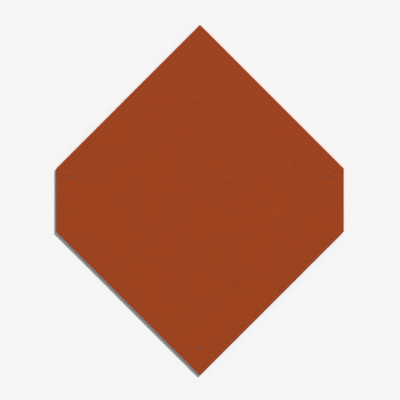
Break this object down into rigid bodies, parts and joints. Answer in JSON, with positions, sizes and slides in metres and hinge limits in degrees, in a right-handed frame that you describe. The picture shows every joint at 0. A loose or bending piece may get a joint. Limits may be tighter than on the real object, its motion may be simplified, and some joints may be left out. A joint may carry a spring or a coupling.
{
  "type": "fibre cement roof slate",
  "caption": "Thin square sheet for laying on the diagonal, its side corners clipped, with nail holes in the head lap and a pin hole above the tail.",
  "frame": {"origin": "on the underside, where the two diagonals of the square cross", "axes": "+Z out of the weather face, +Y up the roof towards the head corner, +X across the roof towards the right clipped edge"},
  "size_m": [0.4638, 0.5644, 0.004],
  "materials": {
    "coated_fibre_cement": "matte"
  },
  "bodies": {
    "root": {"slate": "coated_fibre_cement"}
  },
  "joints": []
}
